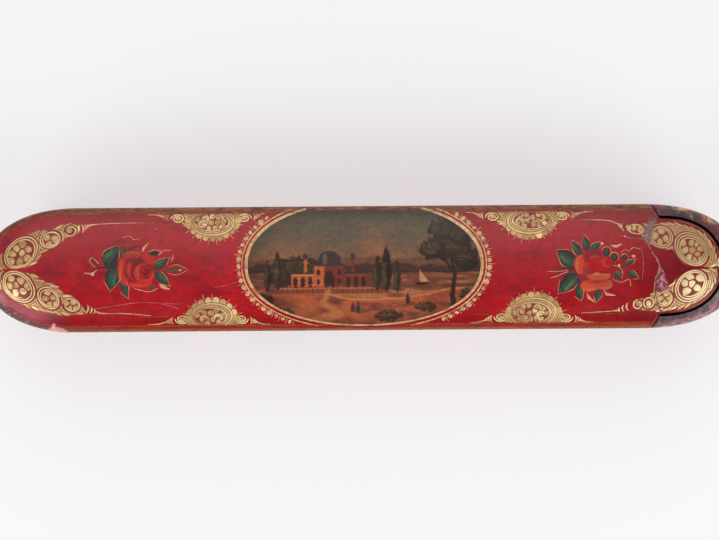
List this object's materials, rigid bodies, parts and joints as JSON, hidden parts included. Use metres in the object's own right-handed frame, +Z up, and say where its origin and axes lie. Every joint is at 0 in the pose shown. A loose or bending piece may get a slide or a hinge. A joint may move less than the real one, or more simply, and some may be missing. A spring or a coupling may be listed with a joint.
{
  "type": "pen box",
  "caption": "Long round-ended lacquered papier-mache pen box, a sleeve with a sliding drawer that holds reed pens and a hinged brass inkwell.",
  "frame": {"origin": "on the ground under the middle of the closed box", "axes": "+X along the box towards the drawer's head, +Z up"},
  "size_m": [0.232, 0.038, 0.037],
  "materials": {
    "red_lacquer": "red lacquer over painted and gilded papier-mache, glossy, crackled and rubbed",
    "drawer_lacquer": "plain dark red lacquer on papier-mache, satin",
    "head_lacquer": "worn dark red and brown lacquer on papier-mache, mottled",
    "brass": "aged, satin",
    "reed": "polished reed, ink-stained nib",
    "inked_silk": "silk floss soaked in ink"
  },
  "bodies": {
    "sleeve": {"sleeve_shell": "red_lacquer"},
    "drawer": {"drawer_tray": "drawer_lacquer", "drawer_head": "head_lacquer", "inkwell_partition": "drawer_lacquer", "inkwell_cup": "brass", "inkwell_top": "brass", "inkwell_hinge_pin": "brass", "ink_wad": "inked_silk"},
    "lid": {"inkwell_lid": "brass", "lid_knob": "brass"},
    "pen_1": {"reed_pen_1": "reed"},
    "pen_2": {"reed_pen_2": "reed"},
    "pen_3": {"reed_pen_3": "reed"}
  },
  "joints": [
    {"name": "drawer_slide", "type": "slide", "parent": "sleeve", "child": "drawer", "axis": [1, 0, 0], "range_m": [0, 0.185]},
    {"name": "inkwell_lid_hinge", "type": "hinge", "parent": "drawer", "child": "lid", "pos_m": [0.0826, 0, 0.01685], "axis": [0, -1, 0], "range_deg": [0, 100]},
    {"name": "reed_pen_1_lift", "type": "slide", "parent": "drawer", "child": "pen_1", "axis": [0, 0, 1], "range_m": [0, 0.018]},
    {"name": "reed_pen_2_lift", "type": "slide", "parent": "drawer", "child": "pen_2", "axis": [0, 0, 1], "range_m": [0, 0.018]},
    {"name": "reed_pen_3_lift", "type": "slide", "parent": "drawer", "child": "pen_3", "axis": [0, 0, 1], "range_m": [0, 0.018]}
  ]
}
